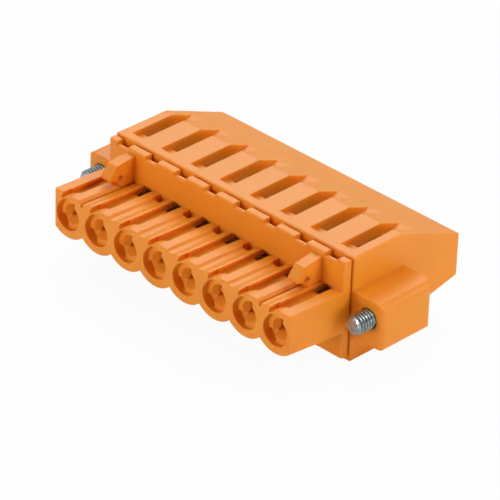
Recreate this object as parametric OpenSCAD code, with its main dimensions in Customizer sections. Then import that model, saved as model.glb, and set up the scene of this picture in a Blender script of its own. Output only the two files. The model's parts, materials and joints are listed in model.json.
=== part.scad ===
// Pluggable terminal block: eight-pole female plug with tension-clamp wire connection and screw flanges.
// Millimetres, +Z up. The part stands on its base, centred on X and Y.
// Inside the modules y = 0 is the front face of the fingers and z = 0 is the axis of the mating pins.

/* [Poles] */
// Distance between neighbouring poles
pitch = 5.08; // [5:0.01:5.3]

/* [Fingers] */
// Length of the fingers in front of the plate
finger_len = 8.95; // [7.5:0.05:10]
// Outer pole centre to the side of the finger row
finger_end = 2.28; // [2.2:0.02:2.28]
// Height of the finger tops above the pin axis
finger_top = 2.95; // [2.85:0.05:3.2]
// Depth of the rounded finger bottoms below the pin axis
finger_drop = 3.1; // [2.95:0.05:3.3]
// Radius of the rounded finger bottoms
scallop_r = 3.6; // [3.3:0.05:4]
// Draft angle of the finger bottoms
finger_draft = 5.6; // [2:0.2:7]
// Fall of the finger tops towards the plate, in degrees
top_fall = 2.7; // [0:0.1:3]
// Width of the undercut groove on each finger, at its top
groove_w = 1.45; // [1.2:0.05:1.6]
// Depth of the undercut groove
groove_d = 1; // [0.8:0.05:1.05]
// Width of the valley between two finger tops
valley_w = 1.9; // [1.6:0.05:2.1]
// Depth of the valley between two finger tops
valley_d = 0.3; // [0.2:0.05:0.5]
// Radius of the round recess in each finger front
mouth_r = 1.97; // [1.85:0.01:2]
// Depth of the recess in each finger front, at its lower right
mouth_d = 0.65; // [0.3:0.05:0.8]
// Further depth of the upper left part of the recess
mouth_step = 0.2; // [0.1:0.05:0.3]
// Depth of the small pocket at the lower left of the recess
pocket_d = 1.25; // [1:0.05:1.6]
// Radius of the deeper step at the upper left of the recess
upper_r = 1.75; // [1.65:0.05:1.85]
// Radius of the small pocket
pocket_r = 0.9; // [0.8:0.05:1]
// Radius of the round seat that stays high at the lower right of the recess
seat_r = 1.08; // [1:0.02:1.16]
// Width of the square hole that guides the pin into the contact
guide_w = 1.45; // [1.4:0.05:1.7]
// Diameter of the round lead-in to that hole
lead_d = 2.9; // [2.4:0.05:3]
// Depth of the lead-in
lead_len = 1.25; // [1:0.05:1.4]
// Wall between the pocket and the contact's cavity
guide_wall = 1.2; // [1:0.05:1.6]

/* [Plate] */
// Thickness of the plate behind the fingers
plate_t = 1.21; // [1.1:0.05:1.6]
// Outer pole centre to the side of the plate
plate_end = 2.29; // [2.29:0.01:2.4]
// Height of the plate above the pin axis
plate_top = 6.55; // [6.3:0.05:6.7]
// Depth of the plate below the pin axis
plate_drop = 6.75; // [6.3:0.05:7]
// Depth of the notches in the top edge of the plate
notch_d = 1.4; // [1:0.05:1.8]
// Thickness of the lip left standing in front of each notch
lip_t = 0.5; // [0.4:0.02:0.6]
// How far the lip stays below the top edge of the plate
lip_drop = 0.45; // [0.3:0.05:0.6]
// Length of the bosses that close the pole chambers
boss_len = 1.45; // [1.2:0.05:1.6]

/* [Latches] */
// Thickness of the latches
latch_t = 1.56; // [1.3:0.02:1.8]
// Reach of the latches in front of the plate
latch_len = 4.2; // [3.6:0.05:4.6]
// Top of the latches below the top edge of the plate
latch_step = 0.6; // [0.5:0.05:0.8]

/* [Rear housing] */
// Gap between the plate and the rear housing
plate_gap = 0.16; // [0.1:0.02:0.3]
// Outer pole centre to the side of the rear housing
body_end = 2.5; // [2.4:0.02:2.6]
// Length of the flat top
top_len = 8.14; // [7.8:0.05:8.8]
// Length of the sloping top
slope_len = 10.63; // [10:0.1:12]
// Height of the flat top above the pin axis
body_top = 6.75; // [6.7:0.05:7.2]
// Depth of the base below the pin axis
base_drop = 7.7; // [7.4:0.05:8.4]
// Length of the flat base
base_len = 9.7; // [9.4:0.05:10.4]
// Height of the rear face above the pin axis
rear_top = 2.55; // [2.4:0.05:3]
// Depth of the rear face below the pin axis
rear_drop = 2.9; // [2.6:0.05:3.2]
// Depth of the rear overhang where it leaves the base
overhang_drop = 4.35; // [4:0.05:4.8]
// Wall over the pole chambers
top_wall = 1.75; // [1.6:0.05:1.9]
// Wall under the pole chambers
base_wall = 0.9; // [0.8:0.05:1.2]
// Width of the pole chambers
chamber_w = 3.9; // [3.6:0.05:4]
// Length of the pole chambers
chamber_len = 8.4; // [8.2:0.05:8.6]

/* [Screwdriver slots] */
// Width of the slots
slot_w = 2.02; // [1.8:0.02:2.4]
// Front end of the slots behind the front of the rear housing
slot_front = 1.3; // [1.1:0.05:1.5]
// Length of the shallow step at the front of the slots
step_len = 1.7; // [1.4:0.05:1.9]
// Depth of that step
step_d = 0.75; // [0.4:0.05:0.9]
// Length of the slot that runs out on the slope
runout_len = 3.37; // [2.8:0.05:4]
// Rise of the slot floor towards its rear end, in degrees
ramp_angle = 7; // [5:0.5:9]

/* [Wire entries] */
// Diameter of the wire throat
throat_d = 3; // [2.6:0.05:3.2]
// Diameter of the funnel mouth
funnel_d = 3.9; // [3.4:0.05:3.95]
// Length of the funnel
funnel_len = 4.6; // [3.5:0.1:5.5]

/* [Flanges] */
// Width of each flange beside the rear housing
flange_w = 5.01; // [4.8:0.01:5.6]
// Length of the flanges
flange_len = 8.8; // [8.4:0.05:9.4]
// Height of the flange top above the pin axis
flange_top = 2.22; // [2.2:0.02:2.6]
// Depth of the flange bottom below the pin axis
flange_drop = 3.88; // [3.6:0.02:4.2]

/* [Flange screws] */
// Diameter of the threaded end
thread_d = 2.5; // [2.4:0.05:2.6]
// How far the screws stand out of the flanges
screw_reach = 2.7; // [2.2:0.05:3]
// Length of the threaded end
thread_len = 2.6; // [2.5:0.05:3]
// Diameter of the neck behind the thread
neck_d = 1.9; // [1.7:0.05:2]
// Diameter of the head
head_d = 3.9; // [3.6:0.05:4]
// Length of the head
head_len = 2.3; // [2:0.05:2.5]
// Depth of the pocket that takes the head
head_pocket = 3; // [2.9:0.05:3.2]
// Width of the slot in the head
driver_w = 0.6; // [0.5:0.05:0.8]

/* [Contacts] */
// Thickness of the contact's current bar
bar_t = 0.6; // [0.5:0.05:0.7]
// Width of the current bar
bar_w = 2.5; // [2.3:0.05:2.6]
// Underside of the current bar above the pin axis
bar_z = 0.85; // [0.8:0.01:0.9]
// Width of the current bar's end, which passes through the spring
bar_tip_w = 2; // [1.8:0.05:2.1]
// Thickness of the two arms that grip the pin
arm_t = 0.4; // [0.3:0.02:0.45]
// Distance between the arms where they grip the pin
grip_gap = 0.84; // [0.7:0.02:0.9]

/* [Clamp springs] */
// Thickness of the spring strip
spring_t = 0.35; // [0.3:0.01:0.4]
// Width of the spring strip
spring_w = 3.2; // [3:0.05:3.4]
// Width of the window in the clamping leg
window_w = 2.3; // [2.25:0.05:2.5]
// Height of the closing strip under the window
window_bar = 1.1; // [0.9:0.05:1.3]
// Opening angle of the spring under the screwdriver
open_angle = 22; // [16:1:22]

/* [Hidden] */
poles = 8;
$fn = 48;

// Clearances
seat_gap = 0.06;      // sides of the bosses in the pole chambers
thread_gap = 0.08;    // threaded end in its hole, radial
neck_gap = 0.09;      // neck in its retaining lip, radial
head_gap = 0.2;       // head in its pocket, radial, and under it
spring_gap = 0.1;     // spring loop above the current bar
spring_air = 0.45;    // spring below the roof of its chamber
contact_gap = 0.15;   // current bar under the roof of the finger cavity
cut = 1;              // how far a cut runs past the face it opens
joint = 0.03;         // overlap of the pieces that make one spring strip

// Places along Y, from the front face of the fingers
plate_front = finger_len;
plate_rear = plate_front + plate_t;
body_front = plate_rear + plate_gap;
fold_y = body_front + top_len;
depth = fold_y + slope_len;
chamber_rear = body_front + chamber_len;
base_rear = body_front + base_len;
boss_rear = plate_rear + boss_len;
flange_rear = body_front + flange_len;

// Half widths and heights
row = (poles - 1) * pitch / 2;
finger_x = row + finger_end;
plate_x = row + plate_end;
body_x = row + body_end;
flange_x = body_x + flange_w;
overhang_foot = 2.3;  // from the rear of the base to where the overhang flattens
chamber_top = body_top - top_wall;
chamber_drop = base_drop - base_wall;

// Contact and finger cavity
cavity_w = bar_w + 0.4;
cavity_top = bar_z + bar_t + contact_gap;
cavity_drop = 1.75;
cavity_front = pocket_d + guide_wall;
bar_end = chamber_rear - 0.1;
grip_y = cavity_front + 1.6;
tulip_rear = plate_front + 0.3;

// Spring: a loop round the pivot, an upper leg, and a clamping leg with a window
loop_low = bar_z + bar_t + spring_gap;
loop_high = chamber_top - spring_air;
loop_r = (loop_high - loop_low) / 2;
pivot_z = (loop_high + loop_low) / 2;
pivot_y = boss_rear + 0.3 + loop_r;
leg_y = bar_end - 0.45;
bend_r = 0.6;
window_low = bar_z - 0.04;
leg_low = window_low - window_bar;
fixed_leg_len = 2;
fixed_leg_angle = open_angle + 3;

// Flange screws
screw_x = body_x + 0.52 * flange_w;
screw_z = -0.3;
screw_tip = body_front - screw_reach;
neck_front = screw_tip + thread_len;
pocket_front = flange_rear - head_pocket;
head_front = pocket_front + head_gap;
neck_lip = 2.4;       // lip that keeps the screw in, in front of the head pocket
lip_front = pocket_front - neck_lip;
tip_lead = 0.3;       // chamfer at the tip of the thread

// Wire axis
wire_z = bar_z - 1;

// Recess of a finger: the centres of its circles, from the pole centre and the pin axis
mouth_at = [-0.08, -0.12];
upper_mouth_at = [0.2, 0.32];
mouth_flat = 1.15;    // straight right side of the upper circle
upper_at = [-0.65, 0.6];
pocket_at = [-1.35, -1.45];
seat_at = [0.35, -0.93];

// Grooves, valleys, slits and latches on the fingers
sunk = 0.2;           // how far a piece that stands on the plate runs into it
groove_x = -0.9;      // left wall of the deep groove, from the pole centre
groove_under = 0.2 * groove_w;
groove_floor = cavity_top + 0.25;
groove_deep_y = mouth_d + mouth_step + 0.5;
window_len = 1.6;     // open end of the groove, in front of the plate
window_reach = 0.7;   // how far that opening goes on into the plate
slit_w = 0.35;
slit_d = 0.5;         // below the valley
valley_pocket_w = 1.2;
valley_pocket_len = 1.3;
valley_pocket_d = 1.6;
valley_pocket_x = pitch / 2 - 0.7;
left_latch_x = -row + 1.53;
right_latch_x = row - 2.13;
latch_foot = finger_top - 0.6;
arch_r = 0.5;
arch_z = finger_top + 0.65;

// Pole centre i, counted from the left
function pole_x(i) = (i - (poles + 1) / 2) * pitch;

function unit(v) = v / norm(v);
function flat(p) = [p[0], p[1]];

// Points that round the corner b, between a and c, with radius r
function corner(a, b, c, r, n = 5) =
    r == 0 ? [b] :
    let (
        u = unit(a - b),
        v = unit(c - b),
        half = acos(u * v) / 2,
        o = b + unit(u + v) * r / sin(half),
        p = b + u * r / tan(half) - o,
        q = b + v * r / tan(half) - o,
        start = atan2(p[1], p[0]),
        turn = atan2(p[0] * q[1] - p[1] * q[0], p * q)
    )
    [for (k = [0:n]) o + r * [cos(start + turn * k / n), sin(start + turn * k / n)]];

// An outline whose corners [x, y, radius] are rounded
function rounded(pts) =
    let (n = len(pts))
    [for (i = [0:n - 1])
        each corner(flat(pts[(i + n - 1) % n]), flat(pts[i]), flat(pts[(i + 1) % n]), pts[i][2])];

// Extrude an outline drawn in X-Z along Y, in Y-Z along X, or in X-Y along Z
module along_y(y0, y1) translate([0, y1, 0]) rotate([90, 0, 0]) linear_extrude(y1 - y0) children();
module along_x(x0, x1) translate([x0, 0, 0]) rotate([90, 0, 90]) linear_extrude(x1 - x0) children();
module along_z(z0, z1) translate([0, 0, z0]) linear_extrude(z1 - z0) children();

// A round bar along Y, with its centre at x, z
module rod_y(x, z, d, y0, y1) translate([x, y1, z]) rotate([90, 0, 0]) cylinder(h = y1 - y0, d = d);

// One copy for each pole, moved to that pole's centre
module at_poles() for (i = [1:poles]) translate([pole_x(i), 0, 0]) children();

// Put the part on its base, centred
module placed() translate([0, -depth / 2, base_drop]) children();

// ---------------------------------------------------------------- front housing

// Outline of one finger's bottom: a round scallop
module scallop() translate([0, scallop_r - finger_drop]) circle(r = scallop_r);

// Section of the finger row: flat ends, scalloped below, with valleys on top
module finger_row() {
    difference() {
        intersection() {
            translate([-finger_x, -finger_drop]) square([2 * finger_x, finger_drop + finger_top]);
            union() {
                for (i = [1:poles]) translate([pole_x(i), 0]) scallop();
                translate([-finger_x, -finger_drop / 2]) square([2 * finger_x, finger_drop / 2 + finger_top]);
            }
        }
        for (i = [1:poles - 1]) translate([pole_x(i) + pitch / 2, finger_top]) valley();
        for (i = [1, poles - 1]) translate([pole_x(i) + pitch / 2 - 0.3, finger_top]) slit();
    }
}

// Groove on a finger: its left wall leans over.
// In front its floor follows the round mouth, and behind it is flat.
module groove() translate([groove_x, 0, 0]) {
    along_y(-cut, groove_deep_y + 0.1) translate([0, finger_top])
        polygon([[0, cut], [0, 0], [-groove_under, -0.6 * groove_d], [-groove_under, -0.95 * groove_d],
                 [0, -0.75 * groove_d], [0.31 * groove_w, -0.45 * groove_d], [0.69 * groove_w, -0.22 * groove_d],
                 [groove_w, 0], [groove_w, cut]]);
    along_y(groove_deep_y, plate_front)
        polygon([[0, finger_top + cut], [0, finger_top - 0.3], [-groove_under, groove_floor],
                 [1.1 * groove_w, groove_floor], [1.1 * groove_w, finger_top + cut]]);
}

// Shallow valley between two finger tops
module valley() {
    left = -0.31 * valley_w;
    right = left + valley_w;
    polygon([[left, cut], [left, 0], [left + 0.2, -valley_d], [right - 0.95, -valley_d], [right, 0], [right, cut]]);
}

// Narrow slit in the valley beside each latch
module slit() translate([0, -valley_d - slit_d]) square([slit_w, valley_d + cut]);

// Recess in a finger front: a circle, and a second one above it that is cut off straight on the right
module mouth() {
    translate(mouth_at) circle(r = mouth_r);
    intersection() {
        translate(upper_mouth_at) circle(r = mouth_r);
        translate([-mouth_r, 0]) square([mouth_r + mouth_flat, 2 * mouth_r]);
    }
}

// Raised round seat at the lower right of the recess
module seat() translate(seat_at) circle(r = seat_r);

// Everything that is open inside one finger: the recess in three depths, the pin guide and the contact's cavity
module finger_opening() {
    along_y(-cut, mouth_d) mouth();
    along_y(0, mouth_d + mouth_step) difference() {
        intersection() {
            mouth();
            translate(upper_at) circle(r = upper_r);
        }
        seat();
    }
    along_y(0, pocket_d) difference() {
        intersection() {
            mouth();
            translate(pocket_at) circle(r = pocket_r);
        }
        seat();
    }
    translate([-guide_w / 2, 0, -guide_w / 2])
        cube([guide_w, cavity_front + 0.1, guide_w]);
    translate([0, mouth_d - 0.01, 0]) rotate([-90, 0, 0])
        cylinder(h = lead_len, d1 = lead_d, d2 = guide_w - 0.05);
    translate([-cavity_w / 2, cavity_front, -cavity_drop])
        cube([cavity_w, boss_rear + cut - cavity_front, cavity_drop + cavity_top]);
}

// Part of the finger row between two heights, tilted about the pins' front end
module tilted_row(angle, low, high)
    rotate([-angle, 0, 0]) along_y(-cut, finger_len + 2 * cut)
        intersection() {
            finger_row();
            translate([-body_x, low]) square([2 * body_x, high - low]);
        }

// Fingers: the tops fall a little towards the plate, and the rounded bottoms are drafted
module fingers()
    intersection() {
        union() {
            tilted_row(top_fall, -0.4 * finger_drop, 2 * finger_top);
            tilted_row(finger_draft, -2 * finger_drop, 0);
        }
        translate([-body_x, 0, -3 * finger_drop]) cube([2 * body_x, plate_front + sunk, 5 * finger_drop]);
    }

// Notch in the top edge of the plate, with a lower lip left in front
module notch() {
    lip_top = plate_top - lip_drop;
    lip_rear = plate_front + lip_t;
    along_x(-slot_w / 2, slot_w / 2)
        polygon([[plate_front - cut, lip_top - cut - 0.2], [plate_front + 0.2, lip_top], [lip_rear, lip_top],
                 [lip_rear, plate_top - notch_d], [plate_rear + cut, plate_top - notch_d],
                 [plate_rear + cut, plate_top + cut], [plate_front - cut, plate_top + cut]]);
}

// Window where the groove meets the plate: it opens the contact's cavity and reaches into the plate
module groove_window()
    translate([groove_x - 0.15, plate_front - window_len, cavity_top - 0.2])
        cube([groove_w, window_len + window_reach, groove_floor - cavity_top + 0.8]);

// Pocket between two fingers, where the valley meets the plate
module valley_pocket()
    translate([valley_pocket_x, plate_front - valley_pocket_len, finger_top - valley_pocket_d])
        cube([valley_pocket_w, valley_pocket_len, valley_pocket_d]);

// Plate with rounded edges
module plate() {
    intersection() {
        along_x(-plate_x, plate_x)
            polygon(rounded([[plate_front, -plate_drop, 0.2], [plate_front, plate_top, 0.25],
                             [plate_rear, plate_top, 0.2], [plate_rear, -plate_drop, 0.2]]));
        along_z(-plate_drop - cut, plate_top + cut)
            polygon(rounded([[-plate_x, plate_front, 0.3], [plate_x, plate_front, 0.3],
                             [plate_x, plate_rear, 0.2], [-plate_x, plate_rear, 0.2]]));
    }
}

// Boss that closes the mouth of a pole chamber and locates the front housing in it
module boss()
    along_z(seat_gap - chamber_drop, chamber_top - seat_gap)
        polygon(rounded([[-chamber_w / 2 + seat_gap, plate_rear - sunk, 0],
                         [chamber_w / 2 - seat_gap, plate_rear - sunk, 0],
                         [chamber_w / 2 - seat_gap, boss_rear, 0.25],
                         [-chamber_w / 2 + seat_gap, boss_rear, 0.25]]));

// Latch: a gusset on the plate whose nose reaches over the fingers, with an arch under the nose
module latch() {
    top = plate_top - latch_step;
    nose = plate_front - latch_len;
    difference() {
        along_x(-latch_t / 2, latch_t / 2)
            polygon(rounded([[plate_front + sunk, latch_foot, 0], [plate_front + sunk, top, 0],
                             [nose + 0.28 * latch_len, top - 0.4, 0.3], [nose, 0.38 * top + 0.62 * finger_top, 0.15],
                             [nose + 0.1, finger_top + 0.75, 0.15], [nose + 0.3 * latch_len, finger_top + 0.6, 0],
                             [nose + 0.48 * latch_len, latch_foot, 0]]));
        translate([0, nose + 0.4 * latch_len, arch_z]) rotate([0, 90, 0])
            cylinder(h = latch_t + cut, r = arch_r, center = true);
    }
}

module front_housing() color("#D96A08") placed() {
    difference() {
        union() {
            fingers();
            plate();
            at_poles() boss();
            translate([left_latch_x, 0, 0]) latch();
            translate([right_latch_x, 0, 0]) latch();
        }
        at_poles() finger_opening();
        at_poles() notch();
        at_poles() groove();
        at_poles() groove_window();
        for (i = [2:poles - 2]) translate([pole_x(i), 0, 0]) valley_pocket();
    }
}

// ---------------------------------------------------------------- rear housing

// Side view of the rear housing
module body_side()
    polygon(rounded([[body_front, -base_drop, 0.3], [body_front, body_top, 0.25], [fold_y, body_top, 0.3],
                     [depth, rear_top, 0.3], [depth, -rear_drop, 0.4],
                     [base_rear + overhang_foot, -overhang_drop, 1], [base_rear, -base_drop, 0.5]]));

// Top view of the rear housing, with rounded corners
module body_plan()
    polygon(rounded([[-body_x, body_front, 0.2], [body_x, body_front, 0.2],
                     [body_x, depth, 0.6], [-body_x, depth, 0.6]]));

// Front view of the rear housing: the long edges of the flat top are rounded
module body_view()
    polygon(rounded([[-body_x, -base_drop, 0.3], [body_x, -base_drop, 0.3],
                     [body_x, body_top, 0.3], [-body_x, body_top, 0.3]]));

// One flange on the right, rounded on its outer edges
module flange() {
    intersection() {
        along_y(body_front, flange_rear)
            polygon(rounded([[body_x - 1, -flange_drop, 0], [flange_x, -flange_drop, 0.4],
                             [flange_x, flange_top, 1.3], [body_x - 1, flange_top, 0]]));
        along_z(-flange_drop - cut, flange_top + cut)
            polygon(rounded([[body_x - 1, body_front, 0], [flange_x, body_front, 0.7],
                             [flange_x, flange_rear, 1.3], [body_x - 1, flange_rear, 0]]));
    }
}

// Stepped hole for a captive screw: thread clearance, retaining lip and head pocket
module screw_hole() {
    rod_y(screw_x, screw_z, thread_d + 2 * thread_gap, body_front - cut, lip_front);
    rod_y(screw_x, screw_z, neck_d + 2 * neck_gap, lip_front - cut, flange_rear);
    rod_y(screw_x, screw_z, head_d + 2 * head_gap, pocket_front, flange_rear + cut);
}

// Chamber of one pole, open to the front
module chamber()
    along_x(-chamber_w / 2, chamber_w / 2)
        polygon([[body_front - cut, -chamber_drop], [body_front - cut, chamber_top],
                 [chamber_rear, chamber_top], [chamber_rear, -chamber_drop]]);

// Screwdriver slot: a shallow step in front, a shaft to the spring, and a ramp that runs out on the slope
module driver_slot() {
    front = body_front + slot_front;
    shaft = front + step_len;
    runout = fold_y + runout_len;
    runout_z = body_top - runout_len * (body_top - rear_top) / slope_len;
    foot = chamber_rear - 0.5;
    foot_z = runout_z - (runout - foot) * tan(ramp_angle);
    over = body_top + cut;
    along_x(-slot_w / 2, slot_w / 2)
        polygon([[front, over], [front, body_top - step_d], [shaft, body_top - step_d],
                 [shaft, chamber_top - cut / 2], [foot, chamber_top - cut / 2], [foot, foot_z],
                 [runout, runout_z], [runout, over]]);
}

// Wire entry: a funnel in the rear face and a throat into the chamber
module wire_entry() {
    rod_y(0, wire_z, throat_d, chamber_rear - 0.3, depth);
    translate([0, depth - funnel_len, wire_z]) rotate([-90, 0, 0])
        cylinder(h = funnel_len, d1 = throat_d, d2 = funnel_d);
    rod_y(0, wire_z, funnel_d, depth - 0.01, depth + cut);
}

module rear_housing() color("#E5862E") placed() {
    difference() {
        union() {
            intersection() {
                along_x(-body_x, body_x) body_side();
                along_z(-base_drop - cut, body_top + cut) body_plan();
                along_y(body_front - cut, depth + cut) body_view();
            }
            flange();
            mirror([1, 0, 0]) flange();
        }
        screw_hole();
        mirror([1, 0, 0]) screw_hole();
        at_poles() chamber();
        at_poles() driver_slot();
        at_poles() wire_entry();
    }
}

// ---------------------------------------------------------------- flange screws

// Captive screw: threaded end, thin neck and slotted head
module flange_screw(side) color("#A9ADB0") placed() {
    x = side * screw_x;
    head_rear = head_front + head_len;
    difference() {
        union() {
            translate([x, screw_tip, screw_z]) rotate([-90, 0, 0])
                cylinder(h = tip_lead, d1 = thread_d - 2 * tip_lead, d2 = thread_d);
            rod_y(x, screw_z, thread_d, screw_tip + tip_lead, neck_front);
            rod_y(x, screw_z, neck_d, neck_front, head_front);
            rod_y(x, screw_z, head_d, head_front, head_rear);
        }
        translate([x - head_d, head_rear - 0.45 * head_len, screw_z - driver_w / 2])
            cube([2 * head_d, head_len, driver_w]);
    }
}

// ---------------------------------------------------------------- contacts

// Side view of the two arms that grip the pin, joined behind by a web
module tulip_side() {
    grip = grip_gap / 2;
    root = bar_z + bar_t;
    for (s = [1, -1]) scale([1, s])
        polygon([[tulip_rear, root], [grip_y + 1, grip + arm_t + 0.15], [grip_y, grip + arm_t],
                 [cavity_front + 0.35, grip + arm_t + 0.45], [cavity_front + 0.35, grip + 0.45],
                 [grip_y, grip], [grip_y + 1, grip + 0.15], [tulip_rear - bar_t, root - bar_t],
                 [tulip_rear - bar_t, -0.1], [tulip_rear, -0.1]]);
}

// Contact of pole i: tulip in the finger, current bar into the clamp chamber
module contact(i) color("#C9C7BF") placed() translate([pole_x(i), 0, 0]) {
    along_x(-bar_w / 2 + 0.15, bar_w / 2 - 0.15) tulip_side();
    difference() {
        translate([-bar_w / 2, tulip_rear - bar_t, bar_z]) cube([bar_w, bar_end - tulip_rear + bar_t, bar_t]);
        for (s = [0, 1]) mirror([s, 0, 0])
            translate([bar_tip_w / 2, leg_y - 2, bar_z - cut]) cube([bar_w, bar_end, bar_t + 2 * cut]);
    }
}

// ---------------------------------------------------------------- clamp springs

// Side view of the strip: fixed leg, loop, upper leg, bend and clamping leg
module spring_side() {
    translate([pivot_y, pivot_z]) {
        // loop, open towards the rear between the fixed leg and the upper leg
        difference() {
            circle(r = loop_r);
            circle(r = loop_r - spring_t);
            polygon([[0, 0], [0, 2 * loop_r], [3 * loop_r, 2 * loop_r], [3 * loop_r, -loop_r],
                     3 * loop_r * [sin(fixed_leg_angle), -cos(fixed_leg_angle)]]);
        }
        // fixed leg, tangent to the loop
        rotate(fixed_leg_angle) translate([-joint, -loop_r]) square([fixed_leg_len + joint, spring_t]);
        // upper leg
        translate([-joint, loop_r - spring_t]) square([leg_y - bend_r - pivot_y + 2 * joint, spring_t]);
    }
    // bend into the clamping leg
    translate([leg_y - bend_r, loop_high - bend_r]) intersection() {
        difference() {
            circle(r = bend_r);
            circle(r = bend_r - spring_t);
        }
        square(bend_r);
    }
    // clamping leg
    translate([leg_y - spring_t, leg_low]) square([spring_t, loop_high - bend_r - leg_low + joint]);
}

// Clamp spring of pole i, with the window that the bar and the wire pass through
module clamp_spring(i) color("#8E9296") placed() translate([pole_x(i), 0, 0]) {
    difference() {
        along_x(-spring_w / 2, spring_w / 2) spring_side();
        translate([-window_w / 2, leg_y - spring_t - cut, window_low])
            cube([window_w, spring_t + 2 * cut, loop_high - bend_r - 0.3 - window_low]);
    }
}

front_housing();
rear_housing();
flange_screw(-1);  // flange_screw_left
flange_screw(1);  // flange_screw_right
for (i = [1:poles]) contact(i);
for (i = [1:poles]) clamp_spring(i);
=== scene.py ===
# %% [markdown]
# # A pluggable terminal block, dressed for its portrait
#
# The object is the orange plug that carries the wires of a control cabinet to a circuit board.
# Its two housings are moulded nylon, its screws are zinc-plated steel, its contacts are tinned
# copper alloy, and its clamp springs are stainless strip.
#
# The solids come ready-made as a fixed frame. This lesson gives them their materials, cuts the
# real threads and slots of the two flange screws, and sets up a small photo studio round them.

# %% Load the frame
import json
import math

import bmesh
import bpy
from mathutils import Matrix, Vector


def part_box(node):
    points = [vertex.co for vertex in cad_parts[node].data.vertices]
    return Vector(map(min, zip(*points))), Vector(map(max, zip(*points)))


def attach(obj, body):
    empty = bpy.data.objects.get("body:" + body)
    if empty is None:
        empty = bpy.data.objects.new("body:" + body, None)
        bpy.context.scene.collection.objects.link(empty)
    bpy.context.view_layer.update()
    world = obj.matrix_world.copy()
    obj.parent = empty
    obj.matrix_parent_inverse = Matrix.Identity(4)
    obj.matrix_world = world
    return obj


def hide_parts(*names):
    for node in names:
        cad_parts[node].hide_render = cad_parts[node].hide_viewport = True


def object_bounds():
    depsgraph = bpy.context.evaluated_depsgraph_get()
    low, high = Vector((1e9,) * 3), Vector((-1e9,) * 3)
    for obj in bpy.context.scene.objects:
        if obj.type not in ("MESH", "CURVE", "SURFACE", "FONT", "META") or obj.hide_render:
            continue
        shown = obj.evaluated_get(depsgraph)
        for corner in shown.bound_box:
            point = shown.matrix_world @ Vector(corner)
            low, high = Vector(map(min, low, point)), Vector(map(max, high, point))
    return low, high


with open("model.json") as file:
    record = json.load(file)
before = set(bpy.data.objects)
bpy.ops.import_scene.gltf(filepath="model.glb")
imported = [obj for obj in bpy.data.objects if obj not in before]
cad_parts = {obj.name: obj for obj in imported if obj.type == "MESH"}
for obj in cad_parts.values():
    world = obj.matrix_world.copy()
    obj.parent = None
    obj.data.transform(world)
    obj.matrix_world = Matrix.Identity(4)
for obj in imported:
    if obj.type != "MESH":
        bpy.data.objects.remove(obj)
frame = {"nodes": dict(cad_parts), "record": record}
cad_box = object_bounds()
MM = 0.001  # one millimetre; Blender counts in metres

# %% [markdown]
# ## Even shading
#
# Each face of a solid arrives as its own patch of triangles, and no corner is shared between two
# faces. So plain smooth shading is enough: it rounds the cylinders, and every edge between two
# faces stays sharp. The stored normals are dropped, because thin triangles make them uneven.

# %% Smooth every patch
for solid in frame["nodes"].values():
    stored = solid.data.attributes.get("custom_normal")
    if stored:
        solid.data.attributes.remove(stored)
    solid.data.shade_smooth()
print("smooth shading on", len(frame["nodes"]), "solids")

# %% [markdown]
# ## The camera
#
# A product portrait is taken from far away with a long lens, so that the eight poles keep nearly
# the same size. The camera is placed by three angles and a distance: how far it has walked round
# the plug, how high it looks down, and how much it leans. A matrix built from its three axes is
# safer than a tracking constraint, because it also holds the lean.
#
# It is placed from the middle of the row of pin openings, which the mounts of the frame give, and
# then shifted a little sideways and up, so that the whole plug sits well in the picture.

# %% Place the camera
AZIMUTH = math.radians(43.948)
ELEVATION = math.radians(31.138)
LEAN = math.radians(1.929)
DISTANCE = 462.44 * MM
SHIFT_RIGHT = 9.593 * MM
SHIFT_UP = 2.616 * MM
SENSOR_WIDTH = 36.0  # sensor and lens are the two sizes that Blender wants in millimetres
LENS = 279.33
FARTHEST_SEEN = 20.0  # metres

openings = [Vector(mount["pos_m"]) for mount in frame["record"]["mounts"]
            if mount["name"].startswith("pin_socket")]
pin_row = sum(openings, Vector()) / len(openings)

back = Vector((math.sin(AZIMUTH) * math.cos(ELEVATION),
               -math.cos(AZIMUTH) * math.cos(ELEVATION),
               math.sin(ELEVATION)))
level = Vector((math.cos(AZIMUTH), math.sin(AZIMUTH), 0))
upright = back.cross(level)
right = level * math.cos(LEAN) + upright * math.sin(LEAN)
up = upright * math.cos(LEAN) - level * math.sin(LEAN)
standpoint = pin_row + right * SHIFT_RIGHT + up * SHIFT_UP + back * DISTANCE
axes = Matrix((right, up, back)).transposed()

camera = bpy.data.objects.new("camera", bpy.data.cameras.new("camera"))
bpy.context.scene.collection.objects.link(camera)
camera.matrix_world = Matrix.Translation(standpoint) @ axes.to_4x4()
camera.data.sensor_width = SENSOR_WIDTH
camera.data.lens = LENS
camera.data.clip_end = FARTHEST_SEEN
bpy.context.scene.camera = camera
print("openings:", len(openings), "camera at", [round(v, 3) for v in standpoint])

# %% [markdown]
# ## Colours and nodes
#
# Colours are written as the hex values that a designer would pick, and one function turns them
# into the linear values that the shader works with. Materials are small networks, so a helper
# that adds one node, sets it and links it keeps each network short to read.

# %% Helpers for materials
def linear(hex_colour):
    """An sRGB hex colour as linear red, green, blue and alpha."""
    channels = [int(hex_colour[k:k + 2], 16) / 255 for k in (1, 3, 5)]
    return [c / 12.92 if c <= 0.04045 else ((c + 0.055) / 1.055) ** 2.4 for c in channels] + [1]


def feed(tree, node, links):
    """Join each output in links to the socket of the node that it is listed under."""
    for socket, output in links.items():
        tree.links.new(output, node.inputs[socket])


def add_node(tree, kind, settings=None, values=None, links=None):
    """Add a node: settings are its own options, values its sockets, links the outputs that feed it."""
    node = tree.nodes.new(kind)
    for option, value in (settings or {}).items():
        setattr(node, option, value)
    for socket, value in (values or {}).items():
        node.inputs[socket].default_value = value
    feed(tree, node, links or {})
    return node


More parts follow.
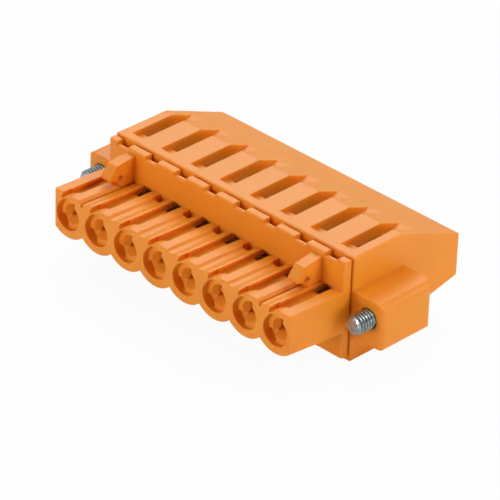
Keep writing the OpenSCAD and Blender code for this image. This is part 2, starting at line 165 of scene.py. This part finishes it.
def new_material(name):
    """A material, its node tree, and a Principled shader that is joined to its output."""
    material = bpy.data.materials.new(name)
    material.use_nodes = True
    tree = material.node_tree
    tree.nodes.clear()
    shader = add_node(tree, "ShaderNodeBsdfPrincipled")
    add_node(tree, "ShaderNodeOutputMaterial", links={"Surface": shader.outputs[0]})
    return material, tree, shader


print("middle grey is", round(linear("#808080")[0], 3), "in linear light")

# %% [markdown]
# ## Moulded nylon
#
# The housings are polyamide 66, coloured orange right through and injection moulded in a
# spark-eroded steel tool. The eroded steel leaves a very fine grain, so the plastic looks satin
# and even. Nylon is a little cloudy: light goes in, scatters and comes out nearby, red farther
# than blue, which softens thin walls and edges. Its IOR is about 1.53.
#
# The grain is about 0.03 mm, too fine to show at this distance, so the bump is drawn at 0.12 mm.
# A second, wide noise changes the shade by a few parts in a hundred, as the flow of the melt does.
# No moulded edge is quite sharp, so a Bevel node rounds each one in the shading.

# %% Nylon for the housings
NYLON_IOR = 1.53
CLOUDINESS = 0.6
SCATTER = 0.8 * MM
SCATTER_COLOURS = (1.0, 0.3, 0.08)  # how far red, green and blue travel, as shares of SCATTER
GRAIN = 0.12 * MM
GRAIN_HEIGHT = 0.01 * MM
GRAIN_STRENGTH = 0.06
GRAIN_POLISH = 0.04  # how much rougher or smoother the grain makes a spot
FLOW = 6 * MM
FLOW_STOPS = (0.3, 0.7)  # the noise values that take the darker and the lighter shade
EDGE_RADIUS = 0.15 * MM


def moulded_nylon(name, light, dark, roughness):
    """A cloudy satin plastic with a fine grain and a slow change of shade."""
    material, tree, shader = new_material(name)
    place = add_node(tree, "ShaderNodeTexCoord").outputs["Object"]
    grain = add_node(tree, "ShaderNodeTexNoise", values={"Scale": 1 / GRAIN, "Detail": 3},
                     links={"Vector": place})
    flow = add_node(tree, "ShaderNodeTexNoise", values={"Scale": 1 / FLOW, "Detail": 2},
                    links={"Vector": place})
    shade = add_node(tree, "ShaderNodeValToRGB", links={"Fac": flow.outputs["Fac"]})
    for stop, position, colour in zip(shade.color_ramp.elements, FLOW_STOPS, (dark, light)):
        stop.position = position
        stop.color = linear(colour)
    edge = add_node(tree, "ShaderNodeBevel", {"samples": 4}, {"Radius": EDGE_RADIUS})
    bump = add_node(tree, "ShaderNodeBump",
                    values={"Strength": GRAIN_STRENGTH, "Distance": GRAIN_HEIGHT},
                    links={"Height": grain.outputs["Fac"], "Normal": edge.outputs["Normal"]})
    polish = add_node(tree, "ShaderNodeMapRange",
                      values={"To Min": roughness - GRAIN_POLISH, "To Max": roughness + GRAIN_POLISH},
                      links={"Value": grain.outputs["Fac"]})
    feed(tree, shader, {"Base Color": shade.outputs["Color"], "Normal": bump.outputs["Normal"],
                        "Roughness": polish.outputs["Result"]})
    shader.inputs["IOR"].default_value = NYLON_IOR
    shader.inputs["Subsurface Weight"].default_value = CLOUDINESS
    shader.inputs["Subsurface Radius"].default_value = SCATTER_COLOURS
    shader.inputs["Subsurface Scale"].default_value = SCATTER
    return material


nylon = moulded_nylon("moulded_nylon_orange", light="#F09313", dark="#EC8E0E", roughness=0.5)
print(nylon.name, "has", len(nylon.node_tree.nodes), "nodes")

# %% [markdown]
# ## The metals
#
# Zinc plating on a steel screw is a blue-grey, slightly dull metal. Tin plating on the contacts
# is whiter and satin. The springs are bright stainless strip with fine lines from rolling.
#
# One function makes all three. A noise lays patches of a few tenths of a millimetre, each a
# little lighter or duller than its neighbours. Stretched along the strip, the same patches turn
# into the lines of the rolling mill. A metal keeps the default IOR.

# %% Zinc, tin and stainless strip
PATCH_HEIGHT = 0.01 * MM
PATCH_STRENGTH = 0.1
PATCH_POLISH = 0.08
PATCH_STOPS = (0.35, 0.65)


def satin_metal(name, light, dark, roughness, patch, stretch=(1, 1, 1)):
    """A satin metal in patches, drawn out along each axis whose stretch is below 1."""
    material, tree, shader = new_material(name)
    place = add_node(tree, "ShaderNodeTexCoord").outputs["Object"]
    drawn = add_node(tree, "ShaderNodeMapping", values={"Scale": stretch}, links={"Vector": place})
    noise = add_node(tree, "ShaderNodeTexNoise", values={"Scale": 1 / patch, "Detail": 4},
                     links={"Vector": drawn.outputs["Vector"]})
    shade = add_node(tree, "ShaderNodeValToRGB", links={"Fac": noise.outputs["Fac"]})
    for stop, position, colour in zip(shade.color_ramp.elements, PATCH_STOPS, (dark, light)):
        stop.position = position
        stop.color = linear(colour)
    polish = add_node(tree, "ShaderNodeMapRange",
                      values={"To Min": roughness - PATCH_POLISH, "To Max": roughness + PATCH_POLISH},
                      links={"Value": noise.outputs["Fac"]})
    bump = add_node(tree, "ShaderNodeBump",
                    values={"Strength": PATCH_STRENGTH, "Distance": PATCH_HEIGHT},
                    links={"Height": noise.outputs["Fac"]})
    feed(tree, shader, {"Base Color": shade.outputs["Color"], "Normal": bump.outputs["Normal"],
                        "Roughness": polish.outputs["Result"]})
    shader.inputs["Metallic"].default_value = 1.0
    return material


zinc = satin_metal("zinc_plated_steel", light="#BCC3C5", dark="#949C9F", roughness=0.3,
                   patch=0.4 * MM)
tin = satin_metal("tinned_copper_alloy", light="#D8D6CF", dark="#C2BFB6", roughness=0.36,
                  patch=0.5 * MM)
strip = satin_metal("stainless_spring_strip", light="#C4C6C8", dark="#A6A9AC", roughness=0.28,
                    patch=0.25 * MM, stretch=(1, 0.05, 0.05))
print("metals:", zinc.name, tin.name, strip.name)

# %% [markdown]
# ## Painted shade in the grooves
#
# The groove of a rolled thread looks almost black beside its bright crest, because it lies in
# shade, while the bare mesh would gleam on its flanks too. So the mesh of the screw carries an
# attribute that says of each point how deep it lies in the groove, from 0 to 1, and shade is
# painted into the zinc, darker with that number. A mesh without the attribute reads 0 and
# keeps its colour.

# %% Paint shade into the zinc in the groove
GROOVE = "groove"
# painted shade: the zinc is darkened towards the root of the thread, down to this share of its
# brightness
PAINTED_GROOVE_SHADE = 0.12  # the share of its brightness that the metal keeps in the root


def paint_groove_shade(material, keep):
    """Paint shade into a metal, between its colour and its shader, darker where the groove is deeper.
    """
    tree = material.node_tree
    shader = tree.nodes["Principled BSDF"]
    shade = shader.inputs["Base Color"].links[0].from_socket
    depth = add_node(tree, "ShaderNodeAttribute", {"attribute_name": GROOVE})
    left = add_node(tree, "ShaderNodeMapRange", values={"To Min": 1.0, "To Max": keep},
                    links={"Value": depth.outputs["Fac"]})
    groove_shaded = add_node(tree, "ShaderNodeVectorMath", {"operation": "SCALE"},
                      links={0: shade, "Scale": left.outputs["Result"]})
    feed(tree, shader, {"Base Color": groove_shaded.outputs["Vector"]})


# painted shade in the groove of the thread
paint_groove_shade(zinc, PAINTED_GROOVE_SHADE)
print(zinc.name, "keeps", PAINTED_GROOVE_SHADE, "of its brightness where", GROOVE, "is 1")

# %% [markdown]
# ## A finish for each solid
#
# The record of the part names a material slot for each of its nodes. A dictionary from slot to
# finish dresses them all in one loop, so that no solid can be forgotten.

# %% Dress the solids
FINISH = {"housing": nylon, "screw": zinc, "contact": tin, "spring": strip}
for entry in frame["record"]["subparts"]:
    solid = frame["nodes"][entry["node"]]
    solid.data.materials.clear()
    solid.data.materials.append(FINISH[entry["material_slot"]])

# %% [markdown]
# ## The flange screws
#
# Each flange holds a captive M2.5 screw: 0.45 mm pitch, a thin neck that turns in the flange,
# and a slotted cheese head. The solid of each screw is plain, so a threaded one stands for it.
#
# The thread is a single grid wrapped round the axis: the radius of each point depends on how far
# along it lies and how far round, so the ridge climbs one pitch each turn. This makes a closed,
# even mesh without any boolean. A cone of 45 degrees leads in at the tip, and at the other end
# the ridge runs out into the neck.

# %% The form of the thread
THREAD_PITCH = 0.45 * MM
THREAD_DEPTH = 0.29 * MM
THREAD_LENGTH = 3.1 * MM
THREAD_FLAT = 0.12  # the share of half a pitch that is flat on the crest, and again in the root
CREST_RADIUS = 1.25 * MM
NECK_RADIUS = 0.95 * MM
TIP_LEAD = 0.3 * MM
RUN_OUT = 0.35 * MM


def groove_at(along, turn):
    """How deep a place on the thread lies: 0 on the crest, 1 in the root."""
    phase = (along / THREAD_PITCH - turn / (2 * math.pi)) % 1.0
    flank = abs(phase - 0.5) * 2
    return min(max((flank - THREAD_FLAT) / (1 - 2 * THREAD_FLAT), 0), 1)


def thread_radius(along, turn):
    """The radius of the thread at a place, with its lead-in and its run-out."""
    run_out = max(0, 1 - (THREAD_LENGTH - along) / RUN_OUT)
    depth = max(THREAD_DEPTH * groove_at(along, turn), TIP_LEAD - along)
    return CREST_RADIUS - depth * (1 - run_out) - (CREST_RADIUS - NECK_RADIUS) * run_out


print("turns of thread:", round(THREAD_LENGTH / THREAD_PITCH, 1))

# %% [markdown]
# ## From rings to a mesh
#
# A screw is described as a row of rings from its tip to its rear. Each ring holds, for every step
# of the turn, how far along it lies, its radius and its depth in the groove. The rings of the
# head, whose two edges are rounded, follow those of the thread. Quads then join each ring to the
# next, and two flat caps close the ends.

# %% Rings, and the mesh that joins them
TURN_STEPS = 64
STEPS_PER_PITCH = 10
TURNS = [2 * math.pi * step / TURN_STEPS for step in range(TURN_STEPS)]
HEAD_LENGTH = 2.3 * MM
HEAD_EDGE = 0.18 * MM
EDGE_MIDDLE = 0.3  # the middle of a rounded edge lies this share of its radius from either face


def screw_rings(length, head_radius):
    """The rings of a screw, as lists of (how far along, radius, depth in the groove)."""
    rings = []
    last = round(THREAD_LENGTH / THREAD_PITCH * STEPS_PER_PITCH)
    for k in range(last + 1):
        along = THREAD_LENGTH * k / last
        in_groove = along > TIP_LEAD and k < last
        rings.append([(along, thread_radius(along, turn), groove_at(along, turn) if in_groove else 0)
                      for turn in TURNS])
    head = length - HEAD_LENGTH
    edge = [(0, HEAD_EDGE), (EDGE_MIDDLE * HEAD_EDGE, EDGE_MIDDLE * HEAD_EDGE), (HEAD_EDGE, 0)]
    outline = [(head, NECK_RADIUS)]
    outline += [(head + inward, head_radius - inset) for inward, inset in edge]
    outline += [(length - inward, head_radius - inset) for inward, inset in reversed(edge)]
    return rings + [[(along, radius, 0)] * TURN_STEPS for along, radius in outline]


def mesh_object(name, mesh):
    """Turn a bmesh into an object of the scene, and free it."""
    data = bpy.data.meshes.new(name)
    mesh.to_mesh(data)
    mesh.free()
    made = bpy.data.objects.new(name, data)
    bpy.context.scene.collection.objects.link(made)
    return made


def wrap_rings(name, rings, axis, tip):
    """Wrap the rings round an axis along Y, from the tip on, as one closed mesh."""
    mesh = bmesh.new()
    # the depth in the groove, which the zinc reads for its painted shade
    groove = mesh.verts.layers.float.new(GROOVE)
    grid = []
    for ring in rings:
        row = []
        for turn, (along, radius, depth) in zip(TURNS, ring):
            point = mesh.verts.new((axis.x + radius * math.cos(turn), tip + along,
                                    axis.z + radius * math.sin(turn)))
            point[groove] = depth
            row.append(point)
        grid.append(row)
    for first, second in zip(grid, grid[1:]):
        for s in range(TURN_STEPS):
            t = (s + 1) % TURN_STEPS
            mesh.faces.new((first[s], first[t], second[t], second[s]))
    mesh.faces.new(grid[0][::-1])
    mesh.faces.new(grid[-1])
    bmesh.ops.recalc_face_normals(mesh, faces=mesh.faces)
    return mesh_object(name, mesh)


print("points round a screw:", TURN_STEPS, "rings in a pitch:", STEPS_PER_PITCH)

# %% [markdown]
# ## The driver slot
#
# The slot goes straight across the head, so here a boolean with a thin block is the simplest
# saw. It leaves long flat faces beside round ones, and smooth shading would smear light across
# them. So the shading stays smooth only where two faces meet at less than 35 degrees.

# %% Saw the slot and settle the shading
SLOT_WIDTH = 0.6 * MM
SLOT_DEPTH = 1.035 * MM
SHARP_ANGLE = math.radians(35)


def cut_slot(screw, axis, rear, head_radius):
    """Saw the driver slot into the rear of the head."""
    mesh = bmesh.new()
    bmesh.ops.create_cube(mesh, size=1)
    bmesh.ops.scale(mesh, verts=mesh.verts, vec=(4 * head_radius, 2 * SLOT_DEPTH, SLOT_WIDTH))
    bmesh.ops.translate(mesh, verts=mesh.verts, vec=(axis.x, rear, axis.z))
    saw = mesh_object("slot_saw", mesh)
    cut = screw.modifiers.new("slot", "BOOLEAN")
    cut.operation = "DIFFERENCE"
    cut.solver = "EXACT"
    cut.object = saw
    evaluated = screw.evaluated_get(bpy.context.evaluated_depsgraph_get())
    slotted = bpy.data.meshes.new_from_object(evaluated)
    screw.modifiers.clear()
    screw.data = slotted
    bpy.data.objects.remove(saw)


def shade_by_angle(piece):
    """Smooth shading that keeps every sharp edge."""
    mesh = bmesh.new()
    mesh.from_mesh(piece.data)
    for face in mesh.faces:
        face.smooth = True
    for edge in mesh.edges:
        edge.smooth = len(edge.link_faces) == 2 and edge.calc_face_angle(0) < SHARP_ANGLE
    mesh.to_mesh(piece.data)
    mesh.free()


print("slot:", round(SLOT_WIDTH / MM, 3), "mm wide and", round(SLOT_DEPTH / MM, 3), "mm deep")

# %% [markdown]
# ## Both screws
#
# The length, head and place of each screw come from the box of the solid that it stands for, so
# the new screw fills the same space. It rides on the same body, and so it turns with the joint.

# %% Make the screws
def make_screw(name, node, body):
    """Stand a threaded screw in the place of a plain one."""
    low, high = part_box(node)
    axis = (low + high) / 2
    head_radius = (high.x - low.x) / 2
    screw = wrap_rings(name, screw_rings(high.y - low.y, head_radius), axis, low.y)
    cut_slot(screw, axis, high.y, head_radius)
    shade_by_angle(screw)
    screw.data.materials.append(zinc)
    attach(screw, body)
    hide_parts(node)
    print(name, "faces:", len(screw.data.polygons))


make_screw("threaded_screw_left", "flange_screw_left", "screw_left")
make_screw("threaded_screw_right", "flange_screw_right", "screw_right")

# %% [markdown]
# ## The floor
#
# A catalogue portrait stands on a white sweep. To the camera the paper glows plain white, mixed
# with a twentieth of its lit self, so that only a faint shadow is left. All other rays meet
# ordinary paper, which throws the light of the lamps back onto the plug.

# %% A white sweep
FLOOR_REACH = 2.0  # metres from the middle to each side
FLOOR_GAP = 0.02 * MM  # so that the floor and the base never share a plane
WHITE_LIFT = 0.95

floor_data = bpy.data.meshes.new("studio_floor")
floor_data.from_pydata([(-FLOOR_REACH, -FLOOR_REACH, 0), (FLOOR_REACH, -FLOOR_REACH, 0),
                        (FLOOR_REACH, FLOOR_REACH, 0), (-FLOOR_REACH, FLOOR_REACH, 0)],
                       [], [(0, 1, 2, 3)])
floor = bpy.data.objects.new("studio_floor", floor_data)
floor.location.z = cad_box[0][2] - FLOOR_GAP
bpy.context.scene.collection.objects.link(floor)

paper, paper_tree, paper_shader = new_material("white_paper_sweep")
paper_shader.inputs["Base Color"].default_value = linear("#F4F4F2")
paper_shader.inputs["Roughness"].default_value = 0.9
paper_rays = add_node(paper_tree, "ShaderNodeLightPath")
lift = add_node(paper_tree, "ShaderNodeMath", {"operation": "MULTIPLY"}, {1: WHITE_LIFT},
                {0: paper_rays.outputs["Is Camera Ray"]})
glow = add_node(paper_tree, "ShaderNodeEmission", values={"Color": (1, 1, 1, 1), "Strength": 1.0})
sweep = add_node(paper_tree, "ShaderNodeMixShader",
                 links={0: lift.outputs[0], 1: paper_shader.outputs[0], 2: glow.outputs[0]})
feed(paper_tree, paper_tree.get_output_node("ALL"), {"Surface": sweep.outputs[0]})
floor.data.materials.append(paper)
print("floor at", round(floor.location.z / MM, 3), "mm")

# %% [markdown]
# ## The world
#
# The camera sees the world as plain white, too. Glossy surfaces see the same white at about half
# strength, so that the screws keep some contrast. As a light on the plug the world is set apart
# from both and kept very weak, because the lamps do that work.

# %% White to the camera, weak as a light
REFLECTED_SKY = 0.5
FILL_LIGHT = 0.05

world = bpy.data.worlds.new("studio")
bpy.context.scene.world = world
world.use_nodes = True
sky_tree = world.node_tree
sky_tree.nodes.clear()
sky_rays = add_node(sky_tree, "ShaderNodeLightPath")
seen = add_node(sky_tree, "ShaderNodeMath", {"operation": "MULTIPLY_ADD"}, {1: REFLECTED_SKY},
                {0: sky_rays.outputs["Is Glossy Ray"], 2: sky_rays.outputs["Is Camera Ray"]})
strength = add_node(sky_tree, "ShaderNodeMapRange", values={"To Min": FILL_LIGHT, "To Max": 1.0},
                    links={"Value": seen.outputs[0]})
sky = add_node(sky_tree, "ShaderNodeBackground", values={"Color": (1, 1, 1, 1)},
               links={"Strength": strength.outputs["Result"]})
add_node(sky_tree, "ShaderNodeOutputWorld", links={"Surface": sky.outputs[0]})
print("world nodes:", len(sky_tree.nodes))

# %% [markdown]
# ## The lamps
#
# Six soft lamps stand at the same distance from the plug and are aimed at it. The low one in
# front lights the faces of the fingers but hardly gets into their openings. The two behind give
# the sloping top its sheen, the one overhead reaches down into the slots and grooves, the one on
# the right evens out the side, and a weak one at the left front softens the rest.

# %% Six soft lamps
LAMP_DISTANCE = 0.6  # metres
LAMP_WIDTH = 0.3
LAMPS = {  # the direction in which each lamp stands, and its power in watts
    "front": ((-0.15, -1.0, 0.22), 1.6),
    "right": ((1.0, 0.1, 0.12), 1.35),
    "right_back": ((0.7, 0.4, 0.8), 1.3),
    "left_back": ((-0.55, 0.6, 0.7), 1.3),
    "overhead": ((-0.1, 0.1, 1.0), 0.75),
    "left_front": ((-0.5, -0.5, 0.9), 0.35),
}

for name, (direction, power) in LAMPS.items():
    light = bpy.data.lights.new(name, "AREA")
    light.shape = "DISK"
    light.size = LAMP_WIDTH
    light.energy = power
    lamp = bpy.data.objects.new(name, light)
    aim = Vector(direction).normalized()
    lamp.location = aim * LAMP_DISTANCE
    lamp.rotation_euler = aim.to_track_quat("Z", "Y").to_euler()
    bpy.context.scene.collection.objects.link(lamp)
bpy.context.scene.view_settings.view_transform = "Standard"
print("lamps:", len(LAMPS), "with", round(sum(power for _, power in LAMPS.values()), 2), "W")
